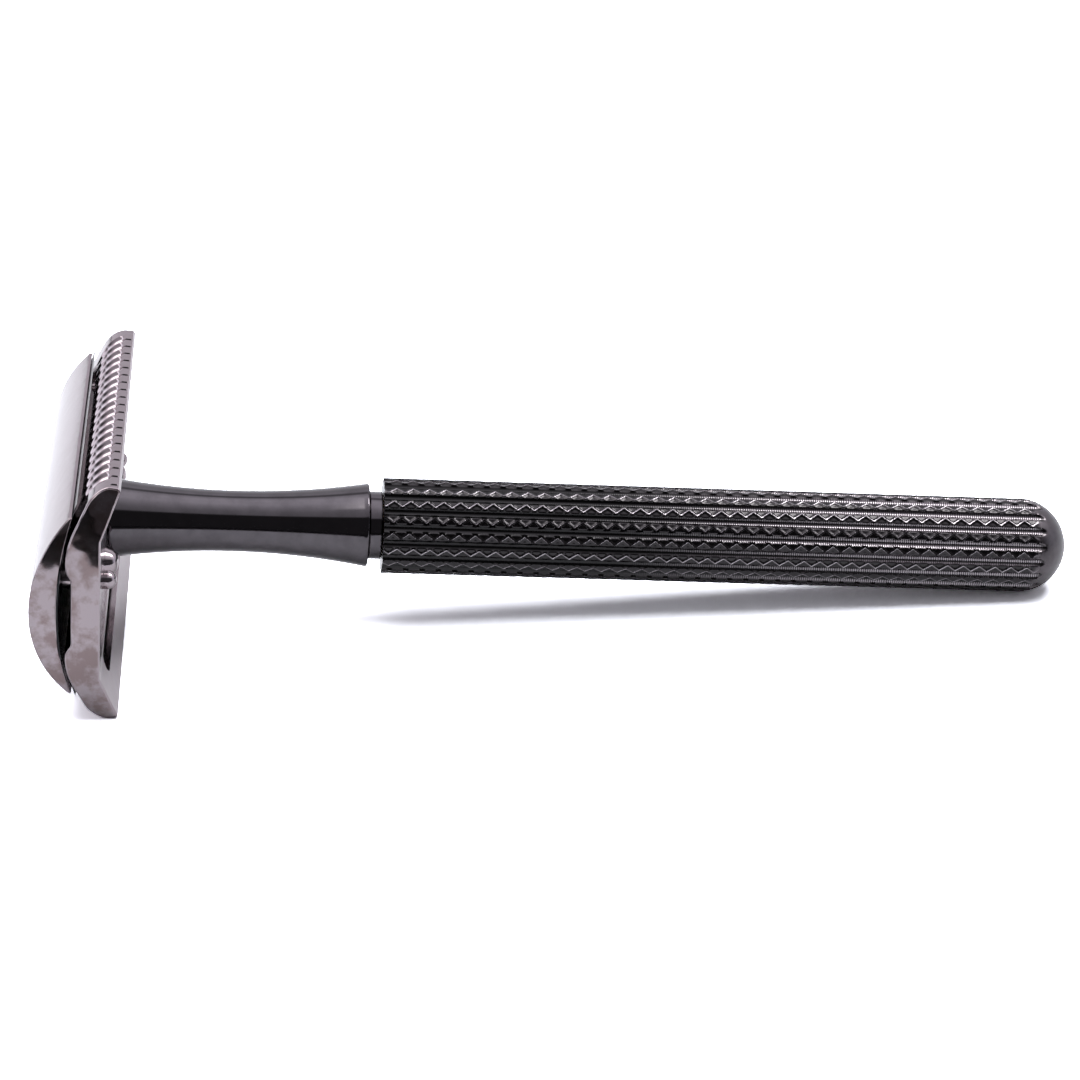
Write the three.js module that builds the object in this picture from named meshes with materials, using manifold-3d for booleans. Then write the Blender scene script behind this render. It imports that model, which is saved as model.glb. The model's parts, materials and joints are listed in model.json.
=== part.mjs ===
// A double-edge safety razor of the three-piece kind, lying on a table. Millimetres, +Z up.
// Every piece is modelled upright, as if the razor stood on its grip: z is the height above the seat
// where the base plate rests on the neck, x runs from guard to guard, y along the head.
// The group at the end lays the razor down, so that it rests on one guard bar and on the grip's rounded end.
import * as THREE from "three";
import { mergeVertices } from "three/addons/utils/BufferGeometryUtils.js";
import Module from "manifold-3d";

const wasm = await Module();
wasm.setup();

// ---- Driving dimensions ----
const razorLength = 110.8; // from the cap's crown to the grip's rounded end
const headLength = 42.8; // cap and base plate, end to end along the middle
const capWidth = 20;
const plateWidth = 26.51; // from guard to guard
const gripDiameter = 10.24;
const threadDiameter = 5; // the metric M5 x 0.8 thread that holds the head on the handle
const fitGap = 0.03; // between faces that bear on each other
const runningGap = 0.06; // radial, between pieces that slide or turn

// ---- Cap ----
const crownHeight = 7.07;
const capUnderside = 4.32; // height of the underside above the seat, at the middle
const crownRadius = 14.8; // outer arc of the section
const hollowRadius = 35.2; // underside arc of the section
const capEndRadius = 33.2; // bow of the ends, seen in plan

// ---- Base plate ----
const channelHeight = 2.92; // floor of the channel between the two crests
const channelHalfWidth = 3.4;
const crestHeight = 3.52; // the crests that press the blade against the cap
const crestPlace = 5.1;
const plateEndRadius = 42.2;
const undersideHalfWidth = 7.8; // flat part of the underside, before it slopes down to the guards
const bandTop = -0.8; // the flat outer band of a guard, from its top edge ...
const bandHeight = 0.8; // ... down to the guard's tip
const guardTip = { x: plateWidth / 2 - 0.4, z: -1.85 };
const slotInner = 8.05; // lather slots through the slope
const slotOuter = 9.95;
const slotHalfLength = 16;
const padPlace = 10; // cast pads under the plate, next to the neck
const padRadius = 1.6;
const padDrop = 1.35;

// ---- Guard scallops ----
const scallopCount = 19;
const scallopPitch = 1.85;
const scallopRadius = 0.9;
const scallopStart = { x: 9, z: 2.3 }; // the groove's bottom line runs from here ...
const scallopEnd = { x: plateWidth / 2, z: -0.65 }; // ... to here

// ---- Blade ----
const bladeThickness = 0.1;
const bladeWidth = 22;
const bladeLength = 42.6;
const edgeLength = 37.4; // each cutting edge
const tabWidth = 12.6; // the ends between the corner notches
const bladeSlotLength = 33;
const bladeSlotWidth = 2.6;

// ---- Threaded stud and locating pins of the cap ----
const studRadius = threadDiameter / 2;
const studTip = -8; // the stud reaches this far down into the neck
const studRoot = capUnderside + 1.5;
const pinPlace = 13.8;
const pinRadius = 0.98;
const pinTip = -1.35;
const pinRoot = capUnderside + 1.2;

// ---- Neck ----
const neckLength = 27.4;
const waistRadius = 3.26;
const waistDrop = 13; // the waist's distance below the seat
const neckCurve = 84; // radius of the concave side
const neckBoreDepth = 9.5;
const edgeChamfer = 0.22;

// ---- Shoulder stud that joins neck and grip ----
const collarRadius = 3.62;
const collarLength = 1.45;
const upperStudRadius = 2;
const upperStudLength = 6.4;
const lowerStudLength = 9;

// ---- Grip and its threaded bush ----
const ribCount = 18;
const gripRadius = gripDiameter / 2;
const ribPhase = Math.PI / 36; // from the x axis to the middle of the first rib
const fluteRoot = gripRadius - 0.4;
const crestShare = 0.42; // of each pitch, the rest is the flute
const gripTop = -(neckLength + collarLength);
const gripEnd = crownHeight - razorLength;
const domeCentre = gripEnd + gripRadius;
const bushRadius = 3.4;
const bushLength = 10;
const gripBoreDepth = 12;

// ---- Rest ----
// The table touches the flat band of one guard and the grip's round end. This is its angle to the handle.
const bandToDome = bandTop - domeCentre;
const restTilt =
  Math.atan2(plateWidth / 2, bandToDome) -
  Math.asin(gripRadius / Math.hypot(plateWidth / 2, bandToDome));

// ---- Helpers ----
const roundSteps = 36; // facets round a turned piece

// A closed three.js geometry as a manifold-3d solid.
function solidFrom(geometry) {
  const bare = geometry.index ? geometry.toNonIndexed() : geometry.clone();
  bare.deleteAttribute("normal");
  bare.deleteAttribute("uv");
  const merged = mergeVertices(bare, 1e-4);
  return new wasm.Manifold(
    new wasm.Mesh({
      numProp: 3,
      vertProperties: merged.attributes.position.array,
      triVerts: new Uint32Array(merged.index.array),
    }),
  );
}

// A manifold-3d solid as a three.js geometry.
function geometryFrom(solid) {
  const mesh = solid.getMesh();
  return new THREE.BufferGeometry()
    .setAttribute("position", new THREE.BufferAttribute(mesh.vertProperties, 3))
    .setIndex(new THREE.BufferAttribute(mesh.triVerts, 1));
}

// Turns a profile of [radius, height] points round the z axis.
function turned(profile, steps = roundSteps) {
  const points = profile.map(([radius, height]) => new THREE.Vector2(radius, height));
  return new THREE.LatheGeometry(points, steps).rotateX(Math.PI / 2);
}

// Draws an outline in the x-y plane and raises it from low to high.
function raised(shape, low, high, curveSegments = 12) {
  const options = { depth: high - low, bevelEnabled: false, curveSegments };
  return new THREE.ExtrudeGeometry(shape, options).translate(0, 0, low);
}

// Draws a section in the x-z plane and runs it along y, centred.
function runAlongHead(section, length, curveSegments) {
  const options = { depth: length, bevelEnabled: false, curveSegments };
  return new THREE.ExtrudeGeometry(section, options)
    .rotateX(Math.PI / 2)
    .translate(0, length / 2, 0);
}

// A plain round pin, hole or boss between two heights.
function roundBar(radius, low, high, x = 0, y = 0) {
  const geometry = new THREE.CylinderGeometry(radius, radius, high - low, roundSteps);
  return geometry.rotateX(Math.PI / 2).translate(x, y, (low + high) / 2);
}

// Points on the arc of a circle through the top point (0, top), dropping as x leaves the middle.
function arcPoints(top, radius, fromX, toX, steps) {
  return Array.from({ length: steps + 1 }, (unused, i) => {
    const x = fromX + ((toX - fromX) * i) / steps;
    return new THREE.Vector2(x, top - radius + Math.sqrt(radius * radius - x * x));
  });
}

// The plan outline of a head part: straight sides and bowed ends.
function headPlan(width, endRadius) {
  const half = headLength / 2;
  const rim = width / 2;
  const farEnd = arcPoints(half, endRadius, rim, -rim, 16);
  const nearEnd = farEnd.map((point) => new THREE.Vector2(-point.x, -point.y));
  return new THREE.Shape([...farEnd, ...nearEnd]);
}

// ---- Cap ----
function capGeometry() {
  const rim = capWidth / 2;
  const crown = arcPoints(crownHeight, crownRadius, rim, -rim, 28);
  const hollow = arcPoints(capUnderside, hollowRadius, -rim, rim, 20);
  const section = new THREE.Shape([...crown, ...hollow]);
  const body = solidFrom(runAlongHead(section, headLength + 1));
  const plan = solidFrom(raised(headPlan(capWidth + 1, capEndRadius), 0, crownHeight + 1));
  const sockets = [
    roundBar(studRadius + fitGap, 0, studRoot + fitGap),
    roundBar(pinRadius + fitGap, 0, pinRoot + fitGap, 0, pinPlace),
    roundBar(pinRadius + fitGap, 0, pinRoot + fitGap, 0, -pinPlace),
  ];
  const cap = sockets.reduce((rest, socket) => rest.subtract(solidFrom(socket)), body.intersect(plan));
  return geometryFrom(cap);
}

function threadedStudGeometry() {
  const chamfer = 0.5;
  return turned([
    [0, studTip],
    [studRadius - chamfer, studTip],
    [studRadius, studTip + chamfer],
    [studRadius, studRoot],
    [0, studRoot],
  ]);
}

function locatingPinGeometry() {
  const steps = 4;
  const dome = Array.from({ length: steps + 1 }, (unused, i) => {
    const angle = (Math.PI / 2) * (i / steps);
    return [pinRadius * Math.sin(angle), pinTip + pinRadius * (1 - Math.cos(angle))];
  });
  return turned([...dome, [pinRadius, pinRoot], [0, pinRoot]], 20);
}

// ---- Blade ----
// The blade is bent to the cap's underside, one gap below it.
function bladeGeometry() {
  const upper = capUnderside - fitGap;
  const halfWidth = bladeWidth / 2;
  const top = arcPoints(upper, hollowRadius, halfWidth, -halfWidth, 20);
  const bottom = arcPoints(upper - bladeThickness, hollowRadius, -halfWidth, halfWidth, 20);
  const strip = solidFrom(runAlongHead(new THREE.Shape([...top, ...bottom]), bladeLength + 1));
  const plan = solidFrom(raised(bladePlan(), 0, crownHeight));
  return geometryFrom(strip.intersect(plan));
}

// The blade's flat outline: two long edges, notched corners, rounded end tabs and the locating slot.
function bladePlan() {
  const x = bladeWidth / 2 + 1;
  const y = edgeLength / 2;
  const tabX = tabWidth / 2;
  const tabY = bladeLength / 2;
  const corner = 2;
  const plan = new THREE.Shape();
  plan.moveTo(x, -y);
  plan.lineTo(x, y);
  plan.lineTo(tabX, y);
  plan.absarc(tabX - corner, tabY - corner, corner, 0, Math.PI / 2);
  plan.absarc(corner - tabX, tabY - corner, corner, Math.PI / 2, Math.PI);
  plan.lineTo(-tabX, y);
  plan.lineTo(-x, y);
  plan.lineTo(-x, -y);
  plan.lineTo(-tabX, -y);
  plan.absarc(corner - tabX, corner - tabY, corner, Math.PI, 1.5 * Math.PI);
  plan.absarc(tabX - corner, corner - tabY, corner, 1.5 * Math.PI, 2 * Math.PI);
  plan.lineTo(tabX, -y);
  plan.holes.push(bladeSlot());
  return plan;
}

// The slot: straight sides, widened round the stud at the middle.
function bladeSlot() {
  const side = bladeSlotWidth / 2;
  const end = bladeSlotLength / 2 - side;
  const eye = studRadius + 0.4;
  const eyeAngle = Math.acos(side / eye);
  const slot = new THREE.Path();
  slot.absarc(0, end, side, 0, Math.PI);
  slot.absarc(0, 0, eye, Math.PI - eyeAngle, Math.PI + eyeAngle);
  slot.absarc(0, -end, side, Math.PI, 2 * Math.PI);
  slot.absarc(0, 0, eye, -eyeAngle, eyeAngle);
  slot.closePath();
  return slot;
}

// ---- Base plate ----
// Half of the section, from the channel over the crest and the guard to the underside, and its mirror image.
function plateSection() {
  const rim = plateWidth / 2;
  const slopeTop = { x: 8.8, z: 2.74 };
  const shoulder = { x: 11.3, z: 1.58 };
  const bandBottom = { x: rim - bandHeight * Math.tan(restTilt), z: bandTop - bandHeight };
  const half = new THREE.Path();
  half.moveTo(channelHalfWidth, channelHeight);
  half.bezierCurveTo(crestPlace - 1.1, channelHeight, crestPlace - 0.9, crestHeight, crestPlace, crestHeight);
  half.bezierCurveTo(crestPlace + 1.4, crestHeight, slopeTop.x - 1.1, slopeTop.z + 0.48, slopeTop.x, slopeTop.z);
  half.lineTo(shoulder.x, shoulder.z);
  half.bezierCurveTo(shoulder.x + 0.9, shoulder.z - 0.42, rim, bandTop + 0.7, rim, bandTop);
  half.lineTo(bandBottom.x, bandBottom.z);
  half.lineTo(guardTip.x, guardTip.z);
  half.lineTo(undersideHalfWidth, 0);
  const right = half.getPoints(6);
  const left = right.map((point) => new THREE.Vector2(-point.x, point.y)).reverse();
  return new THREE.Shape([...right, ...left]);
}

// The cutter of one scallop: a bar along the groove's bottom line, raised by its own radius.
function scallopCutter(side, y) {
  const run = new THREE.Vector3(side * (scallopEnd.x - scallopStart.x), 0, scallopEnd.z - scallopStart.z);
  const length = run.length();
  const along = run.normalize();
  const lift = new THREE.Vector3(-side * along.z, 0, side * along.x).multiplyScalar(scallopRadius);
  const start = new THREE.Vector3(side * scallopStart.x, y, scallopStart.z);
  const middle = start.addScaledVector(along, length / 2).add(lift);
  const turn = new THREE.Quaternion().setFromUnitVectors(new THREE.Vector3(0, 1, 0), along);
  const bar = new THREE.CylinderGeometry(scallopRadius, scallopRadius, length + 2, 14);
  return bar.applyQuaternion(turn).translate(middle.x, middle.y, middle.z);
}

function latherSlot(side) {
  const width = slotOuter - slotInner;
  const middle = (side * (slotInner + slotOuter)) / 2;
  const end = slotHalfLength - width / 2;
  const slot = new THREE.Shape();
  slot.absarc(middle, end, width / 2, 0, Math.PI);
  slot.absarc(middle, -end, width / 2, Math.PI, 2 * Math.PI);
  slot.closePath();
  return raised(slot, guardTip.z - 1, crownHeight);
}

// A cast pad under the plate, half of an ellipsoid.
function pad(y) {
  const ball = new THREE.SphereGeometry(1, 20, 12);
  return ball.scale(padRadius, padRadius, padDrop).translate(0, y, 0);
}

function basePlateGeometry() {
  const bar = solidFrom(runAlongHead(plateSection(), headLength + 1, 5));
  const plan = solidFrom(raised(headPlan(plateWidth + 1, plateEndRadius), guardTip.z - 1, crownHeight));
  let plate = bar.intersect(plan);
  for (const side of [-1, 1]) {
    plate = plate.add(solidFrom(pad(side * padPlace)));
    plate = plate.subtract(solidFrom(latherSlot(side)));
    plate = plate.subtract(
      solidFrom(roundBar(pinRadius + runningGap, -padDrop - 1, crownHeight, 0, side * pinPlace)),
    );
    for (let i = 0; i < scallopCount; i += 1) {
      const y = (i - (scallopCount - 1) / 2) * scallopPitch;
      plate = plate.subtract(solidFrom(scallopCutter(side, y)));
    }
  }
  plate = plate.subtract(solidFrom(roundBar(studRadius + 0.2, -1, crownHeight)));
  return geometryFrom(plate);
}

// ---- Handle ----
function neckRadius(depth) {
  const offset = depth - waistDrop;
  return waistRadius + neckCurve - Math.sqrt(neckCurve * neckCurve - offset * offset);
}

function neckGeometry() {
  const bore = studRadius + runningGap;
  const socket = upperStudRadius + fitGap;
  const socketEnd = upperStudLength + 0.5 - neckLength;
  const firstDepth = fitGap + edgeChamfer;
  const lastDepth = neckLength - edgeChamfer;
  const steps = 12;
  const side = Array.from({ length: steps + 1 }, (unused, i) => {
    const depth = firstDepth + ((lastDepth - firstDepth) * i) / steps;
    return [neckRadius(depth), -depth];
  });
  const profile = [
    [0, -neckBoreDepth - bore / 2],
    [bore, -neckBoreDepth],
    [bore, -fitGap],
    [neckRadius(firstDepth) - edgeChamfer, -fitGap],
    ...side,
    [neckRadius(lastDepth) - edgeChamfer, -neckLength],
    [socket, -neckLength],
    [socket, socketEnd],
    [0, socketEnd + socket / 2],
  ];
  return turned(profile.reverse());
}

function shoulderStudGeometry() {
  const chamfer = 0.3;
  const collarTop = -neckLength - fitGap;
  const lowerEnd = gripTop - lowerStudLength;
  const upperEnd = upperStudLength - neckLength;
  return turned([
    [0, lowerEnd],
    [studRadius - chamfer, lowerEnd],
    [studRadius, lowerEnd + chamfer],
    [studRadius, gripTop + fitGap],
    [collarRadius, gripTop + fitGap],
    [collarRadius, collarTop],
    [upperStudRadius, collarTop],
    [upperStudRadius, upperEnd - chamfer],
    [upperStudRadius - chamfer, upperEnd],
    [0, upperEnd],
  ]);
}

function gripBushGeometry() {
  const hole = studRadius + fitGap;
  const bottom = gripTop - bushLength;
  return turned([
    [hole, bottom],
    [bushRadius, bottom],
    [bushRadius, gripTop - fitGap],
    [hole, gripTop - fitGap],
    [hole, bottom],
  ]);
}

// The grip's section: knurled rib crests on the full radius, with a rounded flute between neighbours.
function fluteOutline() {
  const pitch = (2 * Math.PI) / ribCount;
  const crestHalf = (pitch * crestShare) / 2;
  const fluteSteps = 6;
  const points = [];
  for (let rib = 0; rib < ribCount; rib += 1) {
    const start = ribPhase + rib * pitch + crestHalf;
    const fluteSpan = pitch - 2 * crestHalf;
    for (let i = 0; i <= fluteSteps; i += 1) {
      const share = i / fluteSteps;
      const dip = (gripRadius - fluteRoot) * Math.sqrt(Math.sin(Math.PI * share));
      const angle = start + fluteSpan * share;
      const radius = gripRadius - dip;
      points.push(new THREE.Vector2(radius * Math.cos(angle), radius * Math.sin(angle)));
    }
  }
  return new THREE.Shape(points);
}

// What the bar is turned down to: a plain cylinder with a round end.
function gripEnvelope() {
  const steps = 12;
  const dome = Array.from({ length: steps + 1 }, (unused, i) => {
    const angle = (Math.PI / 2) * (i / steps);
    return [gripRadius * Math.sin(angle), domeCentre - gripRadius * Math.cos(angle)];
  });
  const clear = gripRadius + 0.5;
  return turned([...dome, [clear, domeCentre + 0.5], [clear, gripTop + 1], [0, gripTop + 1]], ribCount * 4);
}

function gripGeometry() {
  const bore = bushRadius + fitGap;
  const boreEnd = gripTop - gripBoreDepth;
  const drilled = turned([
    [0, boreEnd - bore / 2],
    [bore, boreEnd],
    [bore, gripTop + 1],
    [0, gripTop + 1],
  ]);
  const fluted = solidFrom(raised(fluteOutline(), gripEnd, gripTop - fitGap));
  return geometryFrom(fluted.intersect(solidFrom(gripEnvelope())).subtract(solidFrom(drilled)));
}

// ---- Assembly ----
function metal(colour, roughness) {
  return new THREE.MeshStandardMaterial({ color: colour, roughness, metalness: 1 });
}

function piece(name, geometry, material, y = 0) {
  const mesh = new THREE.Mesh(geometry, material);
  mesh.name = name;
  mesh.position.y = y;
  return mesh;
}

function buildRazor() {
  const gunmetal = metal(0x5c5558, 0.16);
  const darkGunmetal = metal(0x3d393c, 0.24);
  const steel = metal(0xb9bbbe, 0.3);
  const bladeSteel = metal(0xc9ccd0, 0.2);
  const brass = metal(0xb08d4a, 0.35);
  const upright = new THREE.Group();
  upright.add(
    piece("cap", capGeometry(), gunmetal),
    piece("threaded_stud", threadedStudGeometry(), steel),
    piece("locating_pin_near", locatingPinGeometry(), gunmetal, -pinPlace),
    piece("locating_pin_far", locatingPinGeometry(), gunmetal, pinPlace),
    piece("blade", bladeGeometry(), bladeSteel),
    piece("base_plate", basePlateGeometry(), gunmetal),
    piece("neck", neckGeometry(), darkGunmetal),
    piece("shoulder_stud", shoulderStudGeometry(), darkGunmetal),
    piece("grip_bush", gripBushGeometry(), brass),
    piece("grip", gripGeometry(), darkGunmetal),
  );
  upright.rotation.y = restTilt - Math.PI / 2;
  return upright;
}

// Puts the origin on the table, under the middle of the razor's box.
function centredOnTable(model) {
  const box = new THREE.Box3().setFromObject(model, true);
  const middle = box.getCenter(new THREE.Vector3());
  model.position.sub(new THREE.Vector3(middle.x, middle.y, box.min.z));
  const scene = new THREE.Group();
  scene.add(model);
  return scene;
}

export default centredOnTable(buildRazor());
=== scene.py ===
"""The looks of a three-piece safety razor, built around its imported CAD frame.

The fine pieces are worked out upright, in millimetres, as if the razor stood on its grip: z runs up the
handle's axis from the seat where the base plate rests on the neck, x from guard to guard, y along the head.
"""
import json
import math

import bpy
import numpy as np
from mathutils import Matrix, Vector


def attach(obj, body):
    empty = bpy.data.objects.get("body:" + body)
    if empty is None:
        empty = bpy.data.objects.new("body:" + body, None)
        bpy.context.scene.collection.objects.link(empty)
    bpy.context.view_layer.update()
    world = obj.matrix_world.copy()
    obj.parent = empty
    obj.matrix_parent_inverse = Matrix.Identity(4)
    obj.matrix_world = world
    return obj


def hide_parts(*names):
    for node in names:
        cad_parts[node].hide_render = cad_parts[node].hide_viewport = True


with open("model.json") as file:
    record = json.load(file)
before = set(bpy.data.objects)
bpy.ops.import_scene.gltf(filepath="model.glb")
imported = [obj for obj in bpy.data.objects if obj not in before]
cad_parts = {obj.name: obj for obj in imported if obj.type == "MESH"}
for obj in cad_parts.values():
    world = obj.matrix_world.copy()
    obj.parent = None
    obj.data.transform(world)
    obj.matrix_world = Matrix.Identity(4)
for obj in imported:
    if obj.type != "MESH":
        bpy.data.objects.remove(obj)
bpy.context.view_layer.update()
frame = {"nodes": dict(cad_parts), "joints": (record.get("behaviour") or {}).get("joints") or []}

MM = 0.001
TURN = 2 * math.pi


# ---- The upright frame and the sizes read from the CAD nodes ----
def upright_matrix():
    """Where the upright frame lies in the row frame, from the joint on the handle's axis."""
    hinge = next(joint for joint in frame["joints"] if joint["name"] == "head_turn")
    up = Vector(hinge["axis"]).normalized()
    along = Vector((0, 1, 0))
    matrix = Matrix((along.cross(up), along, up)).transposed().to_4x4()
    matrix.translation = Vector(hinge["pos_m"])
    return matrix


UPRIGHT = upright_matrix()
AXES = np.array(UPRIGHT.to_3x3())
SEAT = np.array(UPRIGHT.translation)


def to_row(points):
    """Upright millimetres to row-frame metres."""
    return np.asarray(points) @ AXES.T * MM + SEAT


def measure(node):
    """Lowest and highest corner of a CAD node, in upright millimetres."""
    vertices = frame["nodes"][node].data.vertices
    points = (np.array([vertex.co for vertex in vertices]) - SEAT) @ AXES / MM
    return points.min(0), points.max(0)


cap_low, cap_high = measure("cap")
plate_low, plate_high = measure("base_plate")
blade_low, blade_high = measure("blade")
stud_low, stud_high = measure("threaded_stud")
pin_low, pin_high = measure("locating_pin_far")
neck_low, neck_high = measure("neck")
collar_low, collar_high = measure("shoulder_stud")
grip_low, grip_high = measure("grip")

# ---- Details that the boxes don't give, in millimetres ----
CAP_UNDERSIDE = 4.32  # height of the cap's underside at the middle
CAP_RIM = 0.31  # thickness of the cap's long edges
CAP_END_RADIUS = 33.2  # bow of the cap's ends, seen in plan
CAP_FILLET = 0.11  # rounding of the edges round the end faces
PLATE_END_RADIUS = 42.2
PLATE_FILLET = 0.2

CHANNEL_HEIGHT = 2.92
CHANNEL_HALF_WIDTH = 3.4
CREST_PLACE = 5.1
SLOPE_TOP = (8.8, 2.74)
SHOULDER = (11.3, 1.58)
BAND_TOP = -0.8  # where a guard's flat outer band starts
BAND_HEIGHT = 0.8
GUARD_TIP_INSET = 0.4
UNDERSIDE_HALF_WIDTH = 7.8
SLOT_INNER = 8.05
SLOT_OUTER = 9.95
SLOT_HALF_LENGTH = 16
PAD_PLACE = 10
PAD_HEIGHT = 1.35

SCALLOP_COUNT = 19
SCALLOP_PITCH = 1.85
SCALLOP_RADIUS = 0.98
SCALLOP_DEPTH = 0.56
SCALLOP_INNER = 9.9  # the grooves start this far from the middle
SCALLOP_RUN_IN = 1.9  # reach their full depth over this width
SCALLOP_RUN_OUT = 0.5  # and get shallower over this much height above the band
SCALLOP_CENTRE = (8.0, -2.5)  # they are pressed in towards this point of the section
SLIT_DEPTH = 0.35
SLIT_HALF_WIDTH = 0.12
SLIT_TOP = 0.05  # below the band's top edge
SLIT_LENGTH = 0.65
END_SLIT_PLACE = -18.5  # one more slit, in the land at the near end

BLADE_THICKNESS = 0.1
BLADE_EDGE_LENGTH = 37.4
BLADE_TAB_WIDTH = 12.6
BLADE_SLOT_LENGTH = 33
BLADE_SLOT_WIDTH = 2.6
BLADE_GRIND = 0.55  # width of the ground bevel

THREAD_PITCH = 0.8
THREAD_DEPTH = 0.42
PLATE_STUD_GAP = 0.2
RUNNING_GAP = 0.06
PRESS_GAP = 0.03  # pressed and screwed seats are drawn this much wider than what sits in them

WAIST_RADIUS = 3.26
WAIST_DROP = 13
NECK_CURVE = 84
NECK_BORE_DEPTH = 9.5
COLLAR_STUD_RADIUS = 2

RIB_COUNT = 18
RIB_PHASE = math.radians(5)  # where the first rib's middle is, from the x axis
CREST_SHARE = 0.42
FLUTE_DEPTH = 0.45
KNURL_PERIOD = 1.75
KNURL_DEPTH = 0.15
KNURL_SLANT = 1.4  # how steeply the raised lines cross a rib
RIDGE_HALF_WIDTH = 0.04  # of a raised line, as a share of the period
PIT_WALL = 0.16  # from a raised line's edge to a pit's floor, as a share of the period
GRIP_BORE_RADIUS = 3.43
GRIP_BORE_DEPTH = 12


# ---- Mesh helpers ----
def arc_radius(half_chord, rise):
    """Radius of the circle through a chord's ends and a point that stands rise above its middle."""
    return (half_chord**2 + rise**2) / (2 * rise)


def arc_drop(radius, offset):
    """How far a circle falls below its top at a sideways offset."""
    return radius - np.sqrt(radius**2 - np.asarray(offset) ** 2)


def bezier(start, lead, trail, end, steps):
    """Points on a cubic curve, without the first."""
    t = np.linspace(0, 1, steps + 1)[1:, None]
    start, lead, trail, end = (np.array(point, float) for point in (start, lead, trail, end))
    return (1 - t) ** 3 * start + 3 * t * (1 - t) ** 2 * lead + 3 * t**2 * (1 - t) * trail + t**3 * end


def line(start, end, steps):
    """Points on a straight line, without the first."""
    t = np.linspace(0, 1, steps + 1)[1:, None]
    return (1 - t) * np.array(start, float) + t * np.array(end, float)


def eased(corners, steps=4):
    """An outline through (x, z, setback) corners. A corner with a setback is rounded by a small curve."""
    points = []
    for i, (x, z, setback) in enumerate(corners):
        corner = np.array((x, z), float)
        if setback == 0:
            points.append(corner)
            continue
        towards = [np.array(corners[j][:2], float) - corner for j in (i - 1, i + 1)]
        start, end = (corner + side / np.linalg.norm(side) * setback for side in towards)
        for t in np.linspace(0, 1, steps + 1):
            points.append((1 - t) ** 2 * start + 2 * t * (1 - t) * corner + t**2 * end)
    return np.array(points)


def smooth_min(a, b, width):
    """The smaller of two values, with a rounded change-over of about the given width."""
    blend = np.clip(0.5 + (b - a) / (2 * width), 0, 1)
    return b + (a - b) * blend - width * blend * (1 - blend)


def ring_faces(rings, around):
    """Quads between neighbouring rings of a tube."""
    here = np.arange(rings - 1)[:, None] * around + np.arange(around)
    beside = np.arange(rings - 1)[:, None] * around + (np.arange(around) + 1) % around
    quads = np.stack([here, beside, beside + around, here + around], axis=-1)
    return quads.reshape(-1, 4).tolist()


def fan_faces(pole, ring_start, around, flip):
    """Triangles from a pole to a ring."""
    faces = []
    for i in range(around):
        a, b = ring_start + i, ring_start + (i + 1) % around
        faces.append([pole, b, a] if flip else [pole, a, b])
    return faces


def ring_points(radius, angle, heights):
    """Rings of points round the z axis, one for each height, from a radius for each ring or each point."""
    x = radius * np.cos(angle)
    y = radius * np.sin(angle)
    z = np.broadcast_to(heights[:, None], x.shape)
    return np.stack([x, y, z], axis=-1)


def closed_rings(rings, first_pole, last_pole):
    """Points and faces of a tube of rings, closed at both ends by fans from poles at these heights."""
    count, around = rings.shape[:2]
    points = np.concatenate([rings.reshape(-1, 3), [[0, 0, first_pole], [0, 0, last_pole]]])
    faces = ring_faces(count, around)
    faces += fan_faces(len(points) - 2, 0, around, True)
    faces += fan_faces(len(points) - 1, (count - 1) * around, around, False)
    return points, faces


def new_object(name, points, faces):
    """An object from upright millimetre points, with its faces turned outwards and smooth."""
    mesh = bpy.data.meshes.new(name)
    mesh.from_pydata(to_row(points).tolist(), [], faces)
    mesh.update()
    piece = bpy.data.objects.new(name, mesh)
    bpy.context.scene.collection.objects.link(piece)
    face_outwards(mesh)
    mesh.shade_smooth()
    return piece


def face_outwards(mesh):
    """Turns every face over if the closed mesh is inside out."""
    mesh.calc_loop_triangles()
    corners = np.zeros(len(mesh.loop_triangles) * 3, np.int32)
    mesh.loop_triangles.foreach_get("vertices", corners)
    places = np.zeros(len(mesh.vertices) * 3, np.float32)
    mesh.vertices.foreach_get("co", places)
    a, b, c = places.reshape(-1, 3).astype(float)[corners.reshape(-1, 3)].transpose(1, 0, 2)
    if np.einsum("ij,ij->i", a, np.cross(b, c)).sum() < 0:
        mesh.flip_normals()


def paint(piece, name, values):
    """Stores one number per vertex, which a material can read."""
    attribute = piece.data.attributes.new(name, "FLOAT", "POINT")
    attribute.data.foreach_set("value", np.asarray(values, np.float32))


def revolve(name, outline, steps):
    """Turns a (radius, height) outline round the z axis. Both its ends are on the axis."""
    radius, height = np.asarray(outline)[1:-1].T
    angle = np.arange(steps) * TURN / steps
    rings = ring_points(radius[:, None], angle, height)
    points, faces = closed_rings(rings, outline[0][1], outline[-1][1])
    return new_object(name, points, faces)


def prism(name, outline, low, high):
    """Raises a closed x-y outline from low to high."""
    around = len(outline)
    flat = np.asarray(outline)
    points = np.concatenate([np.column_stack([flat, np.full(around, z)]) for z in (low, high)])
    faces = ring_faces(2, around) + [list(range(around))[::-1], list(range(around, 2 * around))]
    return new_object(name, points, faces)


def combine(target, tools, operation):
    """Cuts the tools out of the target, or joins them to it, and deletes them."""
    for tool in tools:
        modifier = target.modifiers.new("combine", "BOOLEAN")
        modifier.object = tool
        modifier.operation = operation
        modifier.solver = "MANIFOLD"
    evaluated = target.evaluated_get(bpy.context.evaluated_depsgraph_get())
    mesh = bpy.data.meshes.new_from_object(evaluated)
    target.modifiers.clear()
    target.data = mesh
    for tool in tools:
        bpy.data.objects.remove(tool)


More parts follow.
